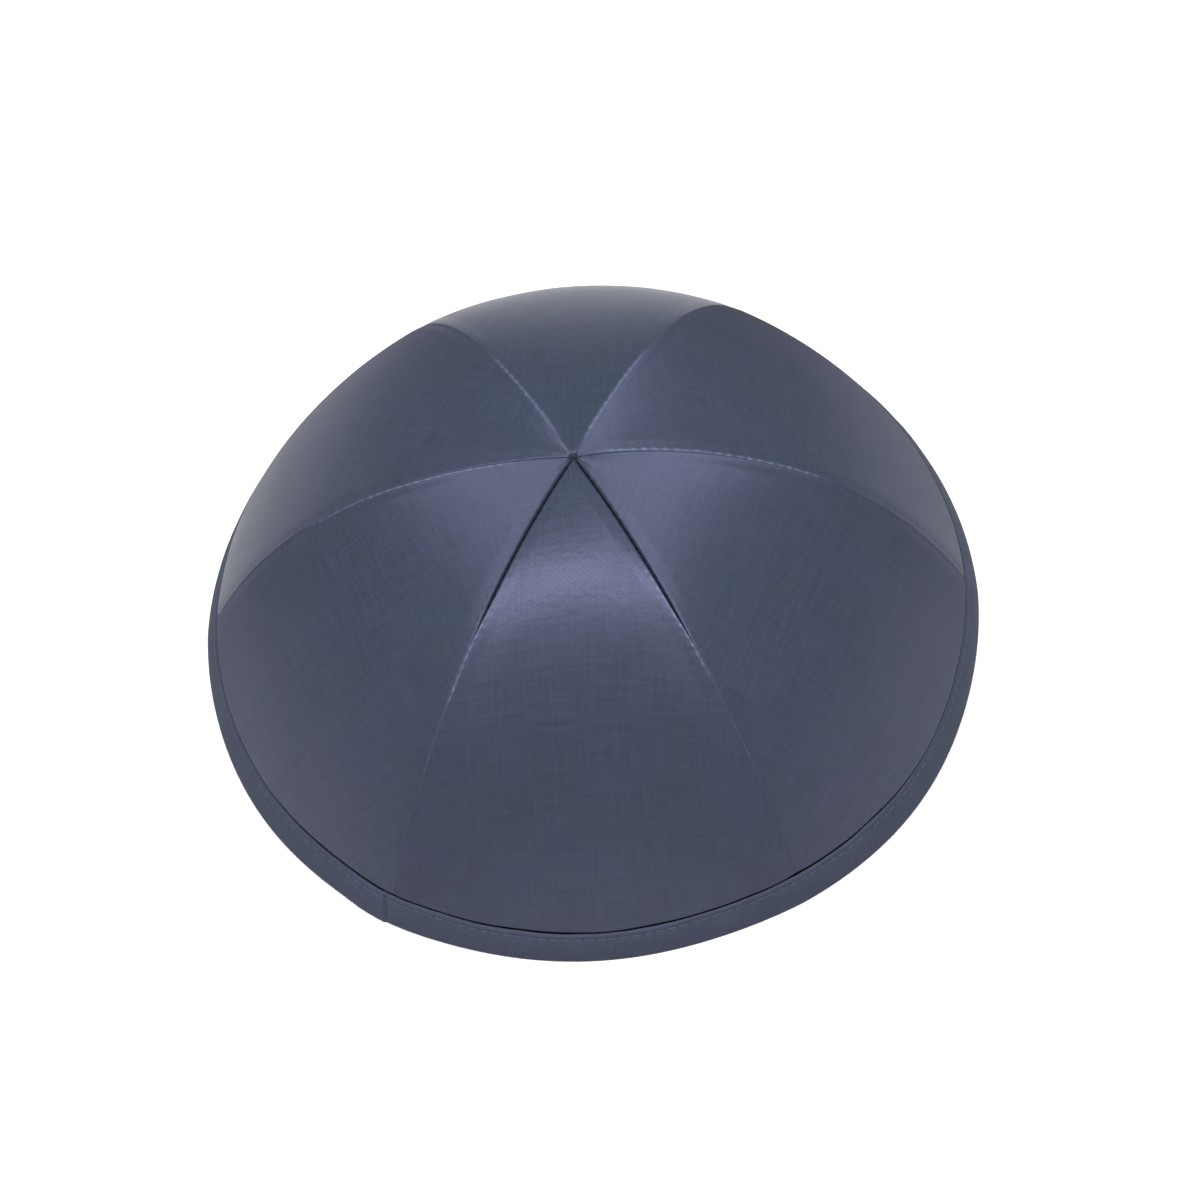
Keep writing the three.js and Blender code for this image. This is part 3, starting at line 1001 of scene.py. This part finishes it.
def new_material(name):
    """A material with its node tree and its shader."""
    material = bpy.data.materials.new(name)
    material.use_nodes = True
    tree = material.node_tree
    return material, tree, tree.nodes["Principled BSDF"]


def dyed_surface(tree, shader, place, dye, rough):
    """Puts the dyed cloth's colour and roughness on a shader. Returns its node."""
    dyed = tree.nodes.new("ShaderNodeGroup")
    dyed.node_tree = bpy.data.node_groups["dyed cloth"]
    dyed.inputs["Dye"].default_value = dye
    dyed.inputs["Rough"].default_value = rough
    tree.links.new(place, dyed.inputs["Cloth"])
    tree.links.new(dyed.outputs["Color"], shader.inputs["Base Color"])
    tree.links.new(dyed.outputs["Roughness"], shader.inputs["Roughness"])
    return dyed


def raised_surface(tree, shader, height, strength, distance):
    """Raises a shader's surface by a height."""
    raised = tree.nodes.new("ShaderNodeBump")
    raised.inputs["Strength"].default_value = strength
    raised.inputs["Distance"].default_value = distance
    tree.links.new(height, raised.inputs["Height"])
    tree.links.new(raised.outputs["Normal"], shader.inputs["Normal"])


def cloth_material(name, finish):
    """A woven cloth on a piece's own cut-out map, with its threads lying down that map."""
    material, tree, shader = new_material(name)
    shader.inputs["Anisotropic"].default_value = finish["drawn_out"]
    shader.inputs["Anisotropic Rotation"].default_value = finish["turn"] / (2 * math.pi)
    shader.distribution = "GGX"
    shader.inputs["Specular IOR Level"].default_value = finish["gloss"]
    shader.inputs["Specular Tint"].default_value = SHEEN_TINT
    cut = tree.nodes.new("ShaderNodeUVMap")
    cut.uv_map = "cut"
    turned = tree.nodes.new("ShaderNodeVectorRotate")
    turned.rotation_type = "Z_AXIS"
    turned.inputs["Angle"].default_value = finish["turn"]
    tree.links.new(cut.outputs["UV"], turned.inputs["Vector"])
    dyed = dyed_surface(tree, shader, turned.outputs[0], finish["dye"], finish["rough"])
    # Paleness of the folds, partly rubbing and partly a painted highlight
    rub_and_sheen = tree.nodes.new("ShaderNodeAttribute")
    rub_and_sheen.attribute_name = "rub_and_sheen"
    tree.links.new(rub_and_sheen.outputs["Fac"], dyed.inputs["Rub_and_sheen"])
    weave = tree.nodes.new("ShaderNodeGroup")
    weave.node_tree = bpy.data.node_groups["satin weave"]
    weave.inputs["Thread"].default_value = THREAD_WIDTH
    tree.links.new(turned.outputs[0], weave.inputs["Cloth"])
    raised_surface(tree, shader, weave.outputs["Height"], finish["relief"], THREAD_RELIEF)
    tangent = tree.nodes.new("ShaderNodeTangent")
    tangent.direction_type = "UV_MAP"
    tangent.uv_map = "cut"
    tree.links.new(tangent.outputs["Tangent"], shader.inputs["Tangent"])
    return material


def thread_material():
    """Twisted sewing thread of the cloth's own colour."""
    material, tree, shader = new_material("sewing thread")
    place = tree.nodes.new("ShaderNodeTexCoord")
    twist = tree.nodes.new("ShaderNodeTexWave")
    twist.inputs["Scale"].default_value = TWIST_SCALE
    twist.inputs["Distortion"].default_value = TWIST_UNEVEN
    tree.links.new(place.outputs["Object"], twist.inputs["Vector"])
    dyed_surface(tree, shader, place.outputs["Object"], THREAD_DYE, THREAD_ROUGH)
    raised_surface(tree, shader, twist.outputs["Fac"], **TWIST_RELIEF)
    return material


def floor_material():
    """Pale grey under the lamp and whiter further out, so that the floor looks evenly white."""
    material, tree, shader = new_material("pale floor")
    shader.inputs["Roughness"].default_value = FLOOR_ROUGH
    shader.inputs["Specular IOR Level"].default_value = FLOOR_GLOSS
    place = tree.nodes.new("ShaderNodeTexCoord")
    away = tree.nodes.new("ShaderNodeVectorMath")
    away.operation = "LENGTH"
    tree.links.new(place.outputs["Object"], away.inputs[0])
    paler = tree.nodes.new("ShaderNodeMapRange")
    paler.inputs["From Min"].default_value = FLOOR_EVEN_TO
    paler.inputs["From Max"].default_value = FLOOR_RADIUS
    paler.inputs["To Min"].default_value = FLOOR_GREY
    paler.inputs["To Max"].default_value = FLOOR_EDGE_GREY
    tree.links.new(away.outputs["Value"], paler.inputs["Value"])
    tree.links.new(paler.outputs["Result"], shader.inputs["Base Color"])
    return material


# Floor, light and camera

def floor():
    """The surface that the cap rests on."""
    bm = bmesh.new()
    bmesh.ops.create_circle(bm, cap_ends=True, segments=96, radius=FLOOR_RADIUS)
    mesh = bpy.data.meshes.new("floor")
    bm.to_mesh(mesh)
    bm.free()
    mesh.materials.append(floor_material())
    ground = bpy.data.objects.new("floor", mesh)
    bpy.context.scene.collection.objects.link(ground)


def overhead_lamp():
    """A long soft lamp over the cap, aimed at its middle."""
    light = bpy.data.lights.new("overhead", "AREA")
    light.shape = "RECTANGLE"
    light.size, light.size_y = LAMP_SIZE
    light.energy = LAMP_WATTS
    lamp = bpy.data.objects.new("overhead", light)
    lamp.location = LAMP_PLACE
    lamp.rotation_euler = Vector(LAMP_PLACE).to_track_quat("Z", "Y").to_euler()
    bpy.context.scene.collection.objects.link(lamp)


def blend_colours(tree, share, first, second):
    """Goes from the first colour to the second by a share. Returns the colour."""
    blend = tree.nodes.new("ShaderNodeMix")
    blend.data_type = "RGBA"
    tree.links.new(share, blend.inputs["Factor"])
    colour_a, colour_b = blend.inputs[6], blend.inputs[7]
    if isinstance(first, tuple):
        colour_a.default_value = first
    else:
        tree.links.new(first, colour_a)
    colour_b.default_value = second
    return blend.outputs[2]


def room():
    """A pale room that is warmer towards the front, and plain white where it is seen."""
    world = bpy.data.worlds.new("white room")
    world.use_nodes = True
    tree = world.node_tree
    back = tree.nodes["Background"]
    back.inputs["Strength"].default_value = ROOM_STRENGTH
    place = tree.nodes.new("ShaderNodeTexCoord")
    split = tree.nodes.new("ShaderNodeSeparateXYZ")
    tree.links.new(place.outputs["Generated"], split.inputs[0])
    forward = tree.nodes.new("ShaderNodeMapRange")
    forward.inputs["From Min"].default_value = FRONT_STARTS
    forward.inputs["From Max"].default_value = FRONT_FULL
    tree.links.new(split.outputs["Y"], forward.inputs["Value"])
    walls = blend_colours(tree, forward.outputs["Result"], BACK_WALL, FRONT_WALL)
    seen = tree.nodes.new("ShaderNodeLightPath")
    colour = blend_colours(tree, seen.outputs["Is Camera Ray"], walls, SEEN_WALL)
    tree.links.new(colour, back.inputs["Color"])
    bpy.context.scene.world = world
    bpy.context.scene.view_settings.view_transform = "Standard"


def camera():
    """The camera, aimed at the cap's foot and moved a little in its own plane to frame it."""
    back = Vector((0, -math.cos(CAMERA_ELEVATION), math.sin(CAMERA_ELEVATION)))
    level_right = Vector((1, 0, 0))
    level_up = back.cross(level_right)
    right = level_right * math.cos(CAMERA_ROLL) + level_up * math.sin(CAMERA_ROLL)
    up = level_up * math.cos(CAMERA_ROLL) - level_right * math.sin(CAMERA_ROLL)
    data = bpy.data.cameras.new("camera")
    data.lens = CAMERA_LENS
    data.sensor_width = CAMERA_SENSOR
    data.sensor_fit = "HORIZONTAL"
    data.clip_start = 0.01
    eye = bpy.data.objects.new("camera", data)
    turn = Matrix((right, up, back)).transposed()
    place = back * CAMERA_DISTANCE + right * CAMERA_ASIDE.x + up * CAMERA_ASIDE.y
    eye.matrix_world = Matrix.Translation(place) @ turn.to_4x4()
    bpy.context.scene.collection.objects.link(eye)
    bpy.context.scene.camera = eye


camera()
satin_weave()
dyed_cloth()
SATIN = cloth_material("navy satin", SATIN_FINISH)
TAPE = cloth_material("bias tape", TAPE_FINISH)
THREAD = thread_material()

tape = binding()
for number in range(len(GORES)):
    satin = gore(number)
edge_stitches()
for number in range(len(SEAMS)):
    seam_stitches(number)

floor()
overhead_lamp()
room()
